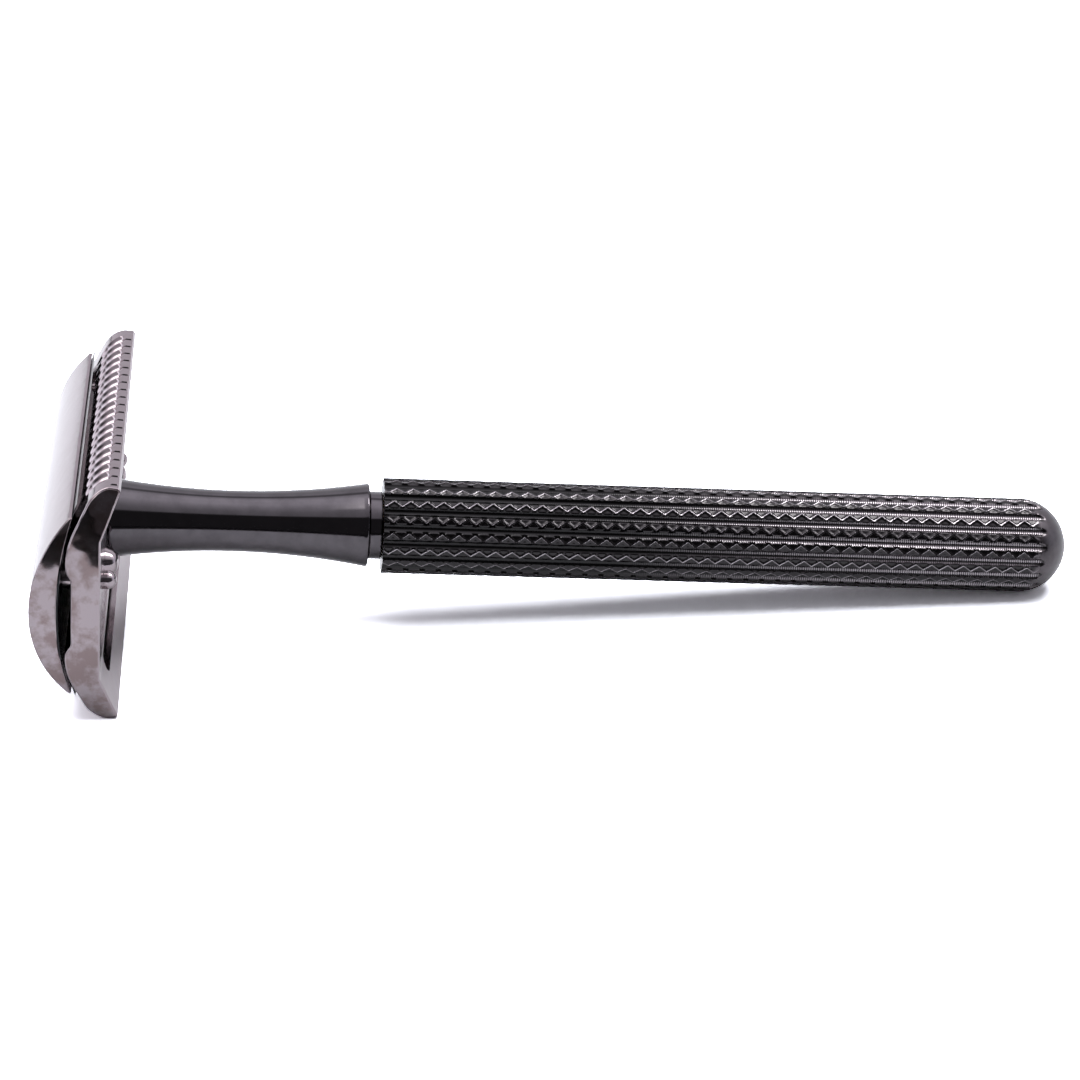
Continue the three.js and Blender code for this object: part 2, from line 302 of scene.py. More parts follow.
def finish_piece(piece, material, body, nodes, crease=40):
    """Gives a piece its material, its crisp edges and its body, and hides the CAD nodes that it stands for.
    """
    piece.data.materials.clear()
    piece.data.materials.append(material)
    piece.data.set_sharp_from_angle(angle=math.radians(crease))
    weighted = piece.modifiers.new("weighted_normals", "WEIGHTED_NORMAL")
    weighted.keep_sharp = True
    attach(piece, body)
    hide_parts(*nodes)
    return piece


def bowed_bar(top, bottom, columns, end_of, fillet):
    """A section run along y, closed by bowed end faces with rounded edges.

    top and bottom run from -x to +x, and top has a whole number of steps for each step of bottom. columns
    are the y places of the straight part, end_of(x) is where the end face stands."""
    loop = np.concatenate([top, bottom[::-1]])
    tangent = np.roll(loop, -1, axis=0) - np.roll(loop, 1, axis=0)
    tangent /= np.linalg.norm(tangent, axis=1)[:, None]
    inward = np.column_stack([tangent[:, 1], -tangent[:, 0]])
    last = end_of(loop[:, 0])
    rings = []
    at_end = []
    reach_steps = 6
    fillet_steps = 5
    for side in (-1, 1):
        start = columns[0] if side < 0 else columns[-1]
        way = side * (last - fillet) - start
        reach = [start + way * k / reach_steps for k in range(1, reach_steps + 1)]
        ends = [np.column_stack([loop[:, 0], y, loop[:, 1]]) for y in reach]
        for k in range(1, fillet_steps + 1):
            angle = math.pi / 2 * k / fillet_steps
            moved = loop + inward * fillet * (1 - math.cos(angle))
            y = side * (last - fillet * (1 - math.sin(angle)))
            ends.append(np.column_stack([moved[:, 0], y, moved[:, 1]]))
        if side < 0:
            rings += ends[::-1]
            at_end += [1.0] + [0.0] * (len(ends) - 1)
            rings += [np.column_stack([loop[:, 0], np.full(len(loop), y), loop[:, 1]]) for y in columns]
            at_end += [0.0] * len(columns)
        else:
            rings += ends
            at_end += [0.0] * (len(ends) - 1) + [1.0]
    faces = ring_faces(len(rings), len(loop))
    ratio = (len(top) - 1) // (len(bottom) - 1)
    for ring in (0, len(rings) - 1):
        first = ring * len(loop)
        for i in range(len(bottom) - 1):
            upper = [first + ratio * i + k for k in range(ratio + 1)]
            lower = [first + len(loop) - 2 - i, first + len(loop) - 1 - i]
            faces.append((upper + lower)[::-1] if ring == 0 else upper + lower)
    points = np.concatenate(rings)
    return points, faces, np.repeat(at_end, len(loop))


# ---- Cap ----
def cap_chain(top, rim_height, rim_middle):
    """One of the cap's two arcs, from the top down to a rim that is rounded towards its middle."""
    half = cap_high[0]
    x = np.linspace(0, half, 33)
    heights = top - arc_drop(arc_radius(half, top - rim_height), x)
    corners = [(a, b, 0) for a, b in zip(x[:-1], heights[:-1])]
    corners += [(half, rim_height, 0.1), (half, rim_middle, 0)]
    right = eased(corners)[:-1]
    return mirrored(right[1:], top)


def make_cap(material):
    """A bar between two arcs, with bowed ends and three sockets in its underside."""
    rim_low = cap_low[2]
    rim_high = rim_low + CAP_RIM
    rim_middle = (rim_low + rim_high) / 2
    straight = cap_high[1] - arc_drop(CAP_END_RADIUS, cap_high[0]) - 1
    points, faces, at_end = bowed_bar(
        cap_chain(cap_high[2], rim_high, rim_middle),
        cap_chain(CAP_UNDERSIDE, rim_low, rim_middle),
        np.linspace(-straight, straight, 25),
        lambda x: cap_high[1] - arc_drop(CAP_END_RADIUS, x),
        CAP_FILLET,
    )
    cap = new_object("razor_cap", points, faces)
    paint(cap, "end_face", at_end)
    sockets = [
        revolve("socket", socket_outline(stud_high[0], stud_high[2]), 48),
        revolve("socket", socket_outline(pin_high[0], pin_high[2]), 32),
        revolve("socket", socket_outline(pin_high[0], pin_high[2]), 32),
    ]
    move_along_head(sockets[1], pin_place())
    move_along_head(sockets[2], -pin_place())
    combine(cap, sockets, "DIFFERENCE")
    return finish_piece(cap, material, "cap", ["cap"])


def pin_place():
    """The far pin's distance from the handle's axis."""
    return (pin_low[1] + pin_high[1]) / 2


def socket_outline(radius, top):
    """A blind hole's outline, a hair wider than what sits in it."""
    wall = radius + PRESS_GAP
    end = top + PRESS_GAP
    return [(0, 0), (wall, 0), (wall, end), (0, end)]


def move_along_head(piece, distance):
    """Moves a mesh along the head's length, in its own vertices."""
    piece.data.transform(Matrix.Translation(Vector((0, distance * MM, 0))))


# ---- Base plate ----
def guard_tip_curve():
    """The band's lower edge, the rounded tip and the underside's fold, as outline points."""
    rim = plate_high[0]
    lean = math.atan2(AXES[0, 0], AXES[2, 0])
    band_bottom = (rim - BAND_HEIGHT * math.tan(lean), BAND_TOP - BAND_HEIGHT)
    tip = (rim - GUARD_TIP_INSET, plate_low[2])
    return eased([(*band_bottom, 0), (*tip, 0.15), (UNDERSIDE_HALF_WIDTH, 0, 0)])


def plate_section():
    """The plate's upper and lower outlines, guard tip to guard tip. Four steps above match one below."""
    rim = plate_high[0]
    crest = plate_high[2]
    channel_edge = (CHANNEL_HALF_WIDTH, CHANNEL_HEIGHT)
    channel_lead = (CREST_PLACE - 1.1, CHANNEL_HEIGHT)
    crest_top = (CREST_PLACE, crest)
    slope_lead = (SLOPE_TOP[0] - 1.1, SLOPE_TOP[1] + 0.48)
    shoulder_lead = (SHOULDER[0] + 0.95, SHOULDER[1] - 0.42)
    tip_curve = guard_tip_curve()
    upper = np.concatenate(
        [
            line((0, CHANNEL_HEIGHT), channel_edge, 7),
            bezier(channel_edge, channel_lead, (CREST_PLACE - 0.9, crest), crest_top, 8),
            bezier(crest_top, (CREST_PLACE + 1.4, crest), slope_lead, SLOPE_TOP, 10),
            line(SLOPE_TOP, SHOULDER, 18),
            bezier(SHOULDER, shoulder_lead, (rim, BAND_TOP + 0.95), (rim, BAND_TOP), 28),
            line((rim, BAND_TOP), tip_curve[0], 10),
            tip_curve[1:4],
        ]
    )
    fold = (UNDERSIDE_HALF_WIDTH, 0)
    lower_steps = len(upper) // 4
    lower = np.concatenate(
        [line((0, 0), fold, 10), line(fold, tip_curve[5], lower_steps - 11), tip_curve[4:5]]
    )
    return mirrored(upper, CHANNEL_HEIGHT), mirrored(lower, 0)


def mirrored(half, middle_height):
    """A whole outline from -x to +x, out of its right half without the middle point."""
    return np.concatenate([(half * (-1, 1))[::-1], [(0, middle_height)], half])


def scallop_places():
    return (np.arange(SCALLOP_COUNT) - (SCALLOP_COUNT - 1) / 2) * SCALLOP_PITCH


def cut_scallops(points):
    """Presses the grooves into the guards, and the thin slits into their bands."""
    side = np.sign(points[:, 0])
    x = np.abs(points[:, 0])
    y = points[:, 1]
    z = points[:, 2]
    rim = plate_high[0]
    inward = np.array(SCALLOP_CENTRE) - np.column_stack([x, z])
    inward /= np.linalg.norm(inward, axis=1)[:, None]
    start = np.clip((x - SCALLOP_INNER) / SCALLOP_RUN_IN, 0, 1)
    end = np.clip((z - BAND_TOP) / SCALLOP_RUN_OUT, 0, 1)
    floor = SCALLOP_DEPTH * np.minimum(start, end)
    dy = np.abs(y[:, None] - scallop_places()).min(axis=1)
    wall = arc_drop(SCALLOP_RADIUS, np.minimum(dy, SCALLOP_RADIUS))
    depth = np.clip(floor - wall, 0, None)
    on_band = (x > rim - 0.3) & (z < BAND_TOP - SLIT_TOP) & (z > BAND_TOP - SLIT_TOP - SLIT_LENGTH)
    slit_dy = np.minimum(dy, np.abs(y - END_SLIT_PLACE))
    slit = SLIT_DEPTH * np.clip(2 - 2 * slit_dy / SLIT_HALF_WIDTH, 0, 1) * on_band
    points[:, 0] = side * (x + inward[:, 0] * depth - slit)
    points[:, 2] = z + inward[:, 1] * depth
    return points


def slot_outline(side):
    """A lather slot's rounded outline."""
    middle = (SLOT_INNER + SLOT_OUTER) / 2
    radius = (SLOT_OUTER - SLOT_INNER) / 2
    end = SLOT_HALF_LENGTH - radius
    angle = np.linspace(0, math.pi, 13)
    far = np.column_stack([middle + radius * np.cos(angle), end + radius * np.sin(angle)])
    near = np.column_stack([middle - radius * np.cos(angle), -end - radius * np.sin(angle)])
    return np.concatenate([far, near]) * (side, 1)


def pad_outline():
    """A cast pad under the plate: a low cone with a rounded tip, its foot sunk into the plate."""
    tip_corner = (1.0, -PAD_HEIGHT, 0.85)
    foot = (1.6, 0.2, 0)
    side = eased([(0.01, -PAD_HEIGHT, 0), tip_corner, foot, (0, 0.4, 0)], steps=8)
    return [(0, -PAD_HEIGHT), *side[1:]]


def make_base_plate(material):
    """The section run along the head, with pressed grooves, cast pads and through holes."""
    top, bottom = plate_section()
    spacing = SCALLOP_PITCH / 20  # fine enough to show each groove as an arc
    straight = 18.73  # half length of the part before the bowed ends
    count = int(straight / spacing)
    columns = np.arange(-count, count + 1) * spacing
    points, faces, at_end = bowed_bar(
        top,
        bottom,
        columns,
        lambda x: plate_high[1] - arc_drop(PLATE_END_RADIUS, x),
        PLATE_FILLET,
    )
    plate = new_object("razor_base_plate", cut_scallops(points), faces)
    paint(plate, "end_face", at_end)
    pads = [revolve("pad", pad_outline(), 32) for _ in range(2)]
    move_along_head(pads[0], PAD_PLACE)
    move_along_head(pads[1], -PAD_PLACE)
    combine(plate, pads, "UNION")
    holes = [prism("slot", slot_outline(side), plate_low[2] - 1, cap_high[2]) for side in (-1, 1)]
    holes.append(revolve("hole", hole_outline(stud_high[0] + PLATE_STUD_GAP), 64))
    for place in (pin_place(), -pin_place()):
        hole = revolve("hole", hole_outline(pin_high[0] + RUNNING_GAP), 48)
        move_along_head(hole, place)
        holes.append(hole)
    combine(plate, holes, "DIFFERENCE")
    return finish_piece(plate, material, "base_plate", ["base_plate"])


def hole_outline(radius):
    """A through hole's outline, longer than the plate is thick."""
    return [(0, -3), (radius, -3), (radius, 5), (0, 5)]


# ---- Stud and pins of the cap ----
def make_threaded_stud(material):
    """The stud with its right-handed thread, which fades out below the cap."""
    thread_top = 2.2
    fade_length = 0.8
    flat_crest = 0.12  # of the thread, as a share of half its pitch
    flat_root = 0.12
    chamfer = 0.5
    outside = stud_high[0]
    z = np.concatenate([np.arange(stud_low[2], thread_top, 0.05), np.linspace(thread_top, stud_high[2], 8)])
    angle = np.arange(48) * TURN / 48
    turns = z[:, None] / THREAD_PITCH - angle / TURN
    share = np.abs((turns % 1) - 0.5) * 2
    groove = THREAD_DEPTH * np.clip((share - flat_crest) / (1 - flat_crest - flat_root), 0, 1)
    fade = np.clip((thread_top - z) / fade_length, 0, 1)[:, None]
    radius = outside - groove * fade
    radius = np.minimum(radius, outside - chamfer + (z[:, None] - stud_low[2]))
    points, faces = closed_rings(ring_points(radius, angle, z), z[0], z[-1])
    stud = new_object("threaded_stud_m5", points, faces)
    return finish_piece(stud, material, "cap", ["threaded_stud"])


def make_pin(name, node, place, material):
    """A plain pin with a round tip below, at a place along the head."""
    radius = pin_high[0]
    angle = np.linspace(0, math.pi / 2, 13)
    tip = np.column_stack([radius * np.sin(angle), pin_low[2] + radius * (1 - np.cos(angle))])
    pin = revolve(name, [*tip, (radius, pin_high[2]), (0, pin_high[2])], 48)
    move_along_head(pin, place)
    return finish_piece(pin, material, "cap", [node])


# ---- Blade ----
def make_blade(material):
    """A thin strip bent to the cap's underside, with ground edges, cut to its flat outline."""
    half = blade_high[0]
    x = np.unique(np.concatenate([np.linspace(-half, half, 45), [half - BLADE_GRIND, BLADE_GRIND - half]]))
    radius = arc_radius(cap_high[0], CAP_UNDERSIDE - cap_low[2])
    middle = blade_high[2] - BLADE_THICKNESS / 2 - arc_drop(radius, x)
    sharpness = 0.03  # the edge's thickness, as a share of the strip's
    share = np.clip((half - np.abs(x)) / BLADE_GRIND, sharpness, 1)
    thickness = BLADE_THICKNESS / 2 * share
    spare = 0.5  # cut off again by the flat outline
    y = np.linspace(blade_low[1] - spare, blade_high[1] + spare, 9)
    upper = np.column_stack([x, middle + thickness])
    lower = np.column_stack([x, middle - thickness])
    loop = np.concatenate([upper, lower[::-1]])
    points = np.concatenate([np.insert(loop, 1, place, axis=1) for place in y])
    faces = ring_faces(len(y), len(loop))
    for ring in (0, len(y) - 1):
        first = ring * len(loop)
        for i in range(len(x) - 1):
            face = [first + i, first + i + 1, first + len(loop) - 2 - i, first + len(loop) - 1 - i]
            faces.append(face[::-1] if ring == 0 else face)
    blade = new_object("razor_blade", points, faces)
    combine(blade, [prism("plan", blade_outline(), 0, cap_high[2] + 1)], "INTERSECT")
    combine(blade, [prism("slot", blade_slot_outline(), 0, cap_high[2] + 1)], "DIFFERENCE")
    return finish_piece(blade, material, "blade", ["blade"], 25)


def blade_outline():
    """A quarter of the blade's flat outline, mirrored twice."""
    side = blade_high[0] + 0.2
    corner = 2
    tab_x = BLADE_TAB_WIDTH / 2
    angle = np.linspace(0, math.pi / 2, 7)
    tab = np.column_stack(
        [tab_x - corner + corner * np.cos(angle), blade_high[1] - corner + corner * np.sin(angle)]
    )
    quarter = np.concatenate([[(side, BLADE_EDGE_LENGTH / 2), (tab_x, BLADE_EDGE_LENGTH / 2)], tab])
    far = np.concatenate([quarter, (quarter * (-1, 1))[::-1]])
    return np.concatenate([far, far * (-1, -1)])


def blade_slot_outline():
    """The slot's outline: straight sides, widened round the stud at the middle."""
    side = BLADE_SLOT_WIDTH / 2
    end = BLADE_SLOT_LENGTH / 2 - side
    eye = stud_high[0] + 0.4
    eye_angle = math.acos(side / eye)
    end_angle = np.linspace(0, math.pi, 13)
    eye_angles = np.linspace(-eye_angle, eye_angle, 9)
    right_eye = np.column_stack([eye * np.cos(eye_angles), eye * np.sin(eye_angles)])
    far_end = np.column_stack([side * np.cos(end_angle), end + side * np.sin(end_angle)])
    half = np.concatenate([right_eye, far_end])
    return np.concatenate([half, half * (-1, -1)])


# ---- Handle ----
def neck_outline():
    """The neck's turned outline: flat seat, concave side, and the two bores in its ends."""
    top, bottom = neck_high[2], neck_low[2]
    bore = stud_high[0] + RUNNING_GAP
    socket = COLLAR_STUD_RADIUS + PRESS_GAP
    socket_end = collar_high[2] + 0.5
    bore_edge = 0.1
    top_edge = 0.25
    bottom_edge = 0.32
    heights = np.linspace(top, bottom, 41)
    radius = WAIST_RADIUS + arc_drop(NECK_CURVE, heights + WAIST_DROP)
    corners = [(0, -NECK_BORE_DEPTH - bore / 2, 0), (bore, -NECK_BORE_DEPTH, 0), (bore, top, bore_edge)]
    corners += [(radius[0], top, top_edge)]
    corners += [(r, h, 0) for r, h in zip(radius[1:-1], heights[1:-1])]
    corners += [(radius[-1], bottom, bottom_edge), (socket, bottom, bore_edge)]
    corners += [(socket, socket_end, 0), (0, socket_end + socket / 2, 0)]
    return eased(corners)


def collar_outline():
    """The double-ended stud: a thin end for the neck, the collar, a thick end for the grip's bush."""
    lower_radius = stud_high[0]
    collar = collar_high[0]
    collar_top = neck_low[2] - PRESS_GAP
    collar_bottom = grip_high[2] + 2 * PRESS_GAP
    return eased(
        [
            (0, collar_low[2], 0),
            (lower_radius, collar_low[2], 0.3),
            (lower_radius, collar_bottom, 0),
            (collar, collar_bottom, 0.15),
            (collar, collar_top, 0.15),
            (COLLAR_STUD_RADIUS, collar_top, 0),
            (COLLAR_STUD_RADIUS, collar_high[2], 0.3),
            (0, collar_high[2], 0),
        ]
    )


def wrapped(value):
    """Distance to the nearest whole number."""
    return np.abs(value - np.round(value))


def grip_envelope(z):
    """The radius of the plain cylinder with a round end that the grip is cut from."""
    full = grip_high[0]
    below = np.clip(grip_low[2] + full - z, 0, full)
    return np.sqrt(full**2 - below**2)


def grip_radius(z, angle):
    """The grip's outer surface: knurled crests, concave flutes, and the round end they run out on."""
    full = grip_high[0]
    start = (angle - RIB_PHASE) * RIB_COUNT / TURN
    across = wrapped(start) * 2  # 0 on a rib's middle, 1 in a flute's middle
    share = np.clip((across - CREST_SHARE) / (1 - CREST_SHARE), 0, 1)
    flute = full - FLUTE_DEPTH * np.sqrt(np.sin(math.pi / 2 * share))
    rise = knurl_rise(z, start)
    slant = KNURL_SLANT * (start - np.round(start))
    from_line = np.minimum(wrapped(rise + slant), wrapped(rise - slant + 0.5))
    knurl = full - KNURL_DEPTH * np.clip((from_line - RIDGE_HALF_WIDTH) / PIT_WALL, 0, 1)
    body = smooth_min(flute, knurl, 0.03)
    return smooth_min(body, grip_envelope(z) + 0.01, 0.02)


def knurl_rise(z, start):
    """How many periods the knurl has run at a height. Each rib has it at a slightly different place."""
    rib = np.round(start) % RIB_COUNT
    shift = 0.28 * np.sin(2.4 * rib)  # in periods, and without order from rib to rib
    return (grip_high[2] - z) / KNURL_PERIOD + shift


def column_angles():
    """Angles round the grip, closer together on the crests than in the flutes."""
    crest_steps = 6
    flute_steps = 8
    crest = np.linspace(-CREST_SHARE / 2, CREST_SHARE / 2, crest_steps + 1)
    bunched = (1 - np.cos(np.linspace(0, math.pi, flute_steps + 1)[1:-1])) / 2
    flute = CREST_SHARE / 2 + (1 - CREST_SHARE) * bunched
    rib = np.concatenate([crest, flute])
    return ((np.arange(RIB_COUNT)[:, None] + rib).ravel()) * TURN / RIB_COUNT + RIB_PHASE


def make_grip(material):
    """Rings from the round end's pole up to the mouth, over its rim and down into the bore."""
    full = grip_high[0]
    angle = column_angles()
    dome_centre = grip_low[2] + full
    spacing = KNURL_PERIOD / 14  # fine enough to show the knurl's ridges
    dome_steps = int(full * math.pi / 2 / spacing)
    dome = dome_centre - full * np.cos(np.linspace(0.02, math.pi / 2, dome_steps))
    body_steps = int((grip_high[2] - dome_centre) / spacing)
    heights = np.concatenate([dome, np.linspace(dome_centre, grip_high[2], body_steps)[1:]])
    radius = grip_radius(heights[:, None], angle)
    bore = np.full((2, len(angle)), GRIP_BORE_RADIUS)
    bore_floor = grip_high[2] - GRIP_BORE_DEPTH
    radius = np.concatenate([radius, (radius[-1:] + bore[:1]) / 2, bore])
    heights = np.concatenate([heights, [grip_high[2], grip_high[2], bore_floor]])
    rings = ring_points(radius, angle, heights)
    points, faces = closed_rings(rings, grip_low[2], bore_floor - GRIP_BORE_RADIUS / 2)
    grip = new_object("razor_grip", points, faces)
    x, y, z = points.T
    depth = grip_envelope(z) - np.hypot(x, y)
    paint(grip, "flute", np.clip((depth - KNURL_DEPTH) / KNURL_DEPTH, 0, 1))
    paint(grip, "along", grip_high[2] - z)
    rib = (np.arctan2(y, x) % TURN - RIB_PHASE) * RIB_COUNT / TURN
    paint(grip, "rib", rib)
    paint(grip, "across", wrapped(rib) * 2)
    paint(grip, "rise", knurl_rise(z, rib))
    paint(grip, "dome", np.clip((dome_centre - z) / 1.5, 0, 1) * np.clip(1 - depth / 0.1, 0, 1))
    return finish_piece(grip, material, "handle", ["grip"])


# ---- Materials ----
def add(tree, kind, inputs=None, **settings):
    """A node with its settings, and with its inputs set to values or linked to other nodes' outputs."""
    node = tree.nodes.new(kind)
    for name, value in settings.items():
        setattr(node, name, value)
    for name, value in (inputs or {}).items():
        if isinstance(value, bpy.types.NodeSocket):
            tree.links.new(value, node.inputs[name])
        else:
            node.inputs[name].default_value = value
    return node


def math_node(tree, operation, a, b=0.0):
    return add(tree, "ShaderNodeMath", {0: a, 1: b}, operation=operation).outputs[0]


def painted(tree, name):
    """A number that paint() stored on the piece."""
    return add(tree, "ShaderNodeAttribute", attribute_name=name).outputs["Fac"]


def darker(colour, share):
    """A colour with its red, green and blue scaled down."""
    return [value * share for value in colour[:3]] + [1]


def remap(tree, value, from_low, from_high, to_low, to_high):
    """A straight change of range, held at both ends."""
    inputs = {
        "Value": value,
        "From Min": from_low,
        "From Max": from_high,
        "To Min": to_low,
        "To Max": to_high,
    }
    return add(tree, "ShaderNodeMapRange", inputs).outputs["Result"]


def noise(tree, place, size, detail=3.0, rough=0.55):
    """Noise whose lumps are about the given size in millimetres."""
    inputs = {"Vector": place, "Scale": 1 / (size * MM), "Detail": detail, "Roughness": rough}
    return add(tree, "ShaderNodeTexNoise", inputs).outputs["Fac"]


def mix_colour(tree, share, first, second):
    """The first colour where share is 0, the second where it is 1."""
    node = add(tree, "ShaderNodeMix", data_type="RGBA")
    for socket, value in zip((node.inputs[0], node.inputs[6], node.inputs[7]), (share, first, second)):
        if isinstance(value, bpy.types.NodeSocket):
            tree.links.new(value, socket)
        else:
            socket.default_value = value
    return node.outputs[2]


def new_material(name):
    """A metal to build on: the material, its node tree, its shader and the place on the piece."""
    material = bpy.data.materials.new(name)
    material.use_nodes = True
    tree = material.node_tree
    tree.nodes.clear()
    shader = add(tree, "ShaderNodeBsdfPrincipled", {"Metallic": 1.0})
    add(tree, "ShaderNodeOutputMaterial", {"Surface": shader.outputs[0]})
    place = add(tree, "ShaderNodeTexCoord").outputs["Object"]
    return material, tree, shader, place


def bump(tree, height, distance, below=None):
    """A bump whose height is in millimetres, on top of another one if given."""
    inputs = {"Height": height, "Distance": distance * MM, "Strength": 1.0}
    if below is not None:
        inputs["Normal"] = below
    return add(tree, "ShaderNodeBump", inputs).outputs["Normal"]


def polished_head(name, colour, deep_colour, shade_colour):
    """Black chrome on the cast head: glossy, mottled on the end faces, with a slight waviness."""
    material, tree, shader, place = new_material(name)
    end_face = painted(tree, "end_face")
    amount = remap(tree, end_face, 0.0, 1.0, 0.2, 1.0)  # stains and swell are weak off the end faces
    blotches = noise(tree, place, 2.2, 5.0, 0.62)
    clouds = remap(tree, blotches, 0.42, 0.58, 0.0, 1.0)
    stained = mix_colour(tree, math_node(tree, "MULTIPLY", clouds, amount), colour, deep_colour)
    # Painted shade: the colour darkens in the piece's own tight recesses, where ambient occlusion is low.
    reach = {"Distance": 5 * MM}
    open_air = add(tree, "ShaderNodeAmbientOcclusion", reach, samples=6, only_local=True).outputs["AO"]
    painted_shade = remap(tree, open_air, 0.1, 0.5, 0.75, 0.0)
    tree.links.new(mix_colour(tree, painted_shade, stained, shade_colour), shader.inputs["Base Color"])
    haze = noise(tree, place, 0.7, 4.0)
    roughness = remap(tree, haze, 0.3, 0.7, 0.07, 0.15)
    end_roughness = remap(tree, haze, 0.3, 0.7, 0.05, 0.11)
    both = {0: end_face, 2: roughness, 3: end_roughness}
    rough_mix = add(tree, "ShaderNodeMix", both, data_type="FLOAT")
    tree.links.new(rough_mix.outputs[0], shader.inputs["Roughness"])
    swell = math_node(tree, "MULTIPLY", noise(tree, place, 3.0, 1.0), amount)
    waves = bump(tree, swell, 0.09)
    grain = bump(tree, noise(tree, place, 0.12, 2.0), 0.0008, waves)
    tree.links.new(grain, shader.inputs["Normal"])
    return material


def turned_metal(name, colour, rough_low, rough_high, line_height=0.0006):
    """Black chrome over turned metal: fine rings round the handle's axis, faint smears of tone and gloss."""
    material, tree, shader, place = new_material(name)
    axis = Vector(AXES[:, 2])
    along = add(tree, "ShaderNodeVectorMath", {0: place, 1: axis}, operation="DOT_PRODUCT").outputs["Value"]
    rings_place = add(tree, "ShaderNodeCombineXYZ", {"X": along}).outputs[0]
    rings = noise(tree, rings_place, 0.09, 4.0, 0.7)
    smears = noise(tree, place, 1.6, 4.0)
    tint = mix_colour(tree, remap(tree, smears, 0.35, 0.65, 0.0, 1.0), colour, darker(colour, 0.82))
    tree.links.new(tint, shader.inputs["Base Color"])
    tree.links.new(remap(tree, smears, 0.3, 0.7, rough_low, rough_high), shader.inputs["Roughness"])
    tree.links.new(bump(tree, rings, line_height), shader.inputs["Normal"])
    return material


def knurl_line(tree):
    """Up to 1 on the knurl's raised lines, 0 elsewhere: where the colour is painted bright, partly for wear
    on the ridges and partly as a painted highlight. The lines that slant one way are painted fainter, as if
    they faced away from the light.

    It repeats the sums of grip_radius() as nodes."""
    rib = painted(tree, "rib")
    rise = painted(tree, "rise")
    local = math_node(tree, "SUBTRACT", rib, math_node(tree, "ROUND", rib))
    slant = math_node(tree, "MULTIPLY", local, KNURL_SLANT)
    first = math_node(tree, "PINGPONG", math_node(tree, "ADD", rise, slant), 0.5)
    shifted = math_node(tree, "ADD", math_node(tree, "SUBTRACT", rise, slant), 0.5)
    second = math_node(tree, "PINGPONG", shifted, 0.5)
    core = RIDGE_HALF_WIDTH * 0.4
    edge = RIDGE_HALF_WIDTH * 1.5
    faint = remap(tree, first, core, edge, 0.45, 0.0)
    bright = remap(tree, second, core, edge, 1.0, 0.0)
    line = math_node(tree, "MAXIMUM", bright, faint)
    on_crest = remap(tree, painted(tree, "across"), CREST_SHARE * 0.85, CREST_SHARE * 0.95, 1.0, 0.0)
    return math_node(tree, "MULTIPLY", line, on_crest)


def fluted_metal(name, colour, wear_and_glint_colour, shade_colour):
    """The grip's black chrome: knurl pits and the flutes near the mouth darkened by painted shade, raised
    lines painted bright, cutter marks across the flutes with painted glints.
    """
    material, tree, shader, place = new_material(name)
    flute = painted(tree, "flute")
    along = painted(tree, "along")
    dome = painted(tree, "dome")
    line = math_node(tree, "MULTIPLY", knurl_line(tree), math_node(tree, "SUBTRACT", 1.0, dome))
    smears = noise(tree, place, 1.2, 4.0)
    plating = mix_colour(tree, remap(tree, smears, 0.35, 0.65, 0.0, 1.0), colour, darker(colour, 0.8))
    # Painted shade darkens the knurled crests between their raised lines, and the flutes near the mouth.
    crest_shade = remap(tree, math_node(tree, "MAXIMUM", dome, flute), 0.0, 0.5, 0.78, 0.0)
    in_flute = remap(tree, flute, 0.0, 0.3, 0.0, 1.0)
    near_mouth = remap(tree, along, 25.0, 60.0, 0.92, 0.0)
    painted_shade = math_node(tree, "MAXIMUM", crest_shade, math_node(tree, "MULTIPLY", in_flute, near_mouth))
    pits = mix_colour(tree, painted_shade, plating, shade_colour)
    roughness = remap(tree, smears, 0.3, 0.7, 0.13, 0.24)
    dome_satin = math_node(tree, "MULTIPLY", dome, 0.3)
    line_satin = math_node(tree, "MULTIPLY", line, 0.25)
    satin = math_node(tree, "MAXIMUM", dome_satin, line_satin)
    tree.links.new(math_node(tree, "MAXIMUM", roughness, satin), shader.inputs["Roughness"])
    marks = cutter_marks(tree, place, along, flute)
    # Painted highlight: the crests of the cutter marks are painted bright, more towards the round end, under
    # the strip lamp.
    glint = math_node(tree, "MULTIPLY", remap(tree, marks, 0.15, 0.7, 0.0, 1.0), 0.8)
    painted_glints = mix_colour(tree, glint, pits, wear_and_glint_colour)
    # Painted highlight and wear: the knurl's raised lines take the bright colour.
    tree.links.new(mix_colour(tree, line, painted_glints, wear_and_glint_colour), shader.inputs["Base Color"])
    ripples = bump(tree, marks, 0.014)
    grain = bump(tree, noise(tree, place, 0.15, 3.0), 0.003, ripples)
    tree.links.new(grain, shader.inputs["Normal"])
    return material


def cutter_marks(tree, place, along, flute):
    """Waves across the flutes, a quarter of a millimetre apart and stronger towards the round end."""
    mark_pitch = 0.24
    wander = math_node(tree, "MULTIPLY", noise(tree, place, 1.5, 2.0), 0.25)
    phase = math_node(tree, "MULTIPLY", math_node(tree, "ADD", along, wander), TURN / mark_pitch)
    wave = math_node(tree, "SINE", phase)
    stronger = remap(tree, along, 20.0, 66.0, 0.05, 1.0)
    return math_node(tree, "MULTIPLY", math_node(tree, "MULTIPLY", wave, flute), stronger)


def ground_steel(name, colour, rough):
    """Steel with fine grinding lines along the head."""
    material, tree, shader, place = new_material(name)
    along_head = (1, 0.03, 1)
    stretched = add(tree, "ShaderNodeVectorMath", {0: place, 1: along_head}, operation="MULTIPLY").outputs[0]
    lines = noise(tree, stretched, 0.06, 3.0)
    tree.links.new(mix_colour(tree, lines, colour, darker(colour, 0.85)), shader.inputs["Base Color"])
    tree.links.new(remap(tree, lines, 0.3, 0.7, rough * 0.7, rough * 1.4), shader.inputs["Roughness"])
    tree.links.new(bump(tree, lines, 0.001), shader.inputs["Normal"])
    return material


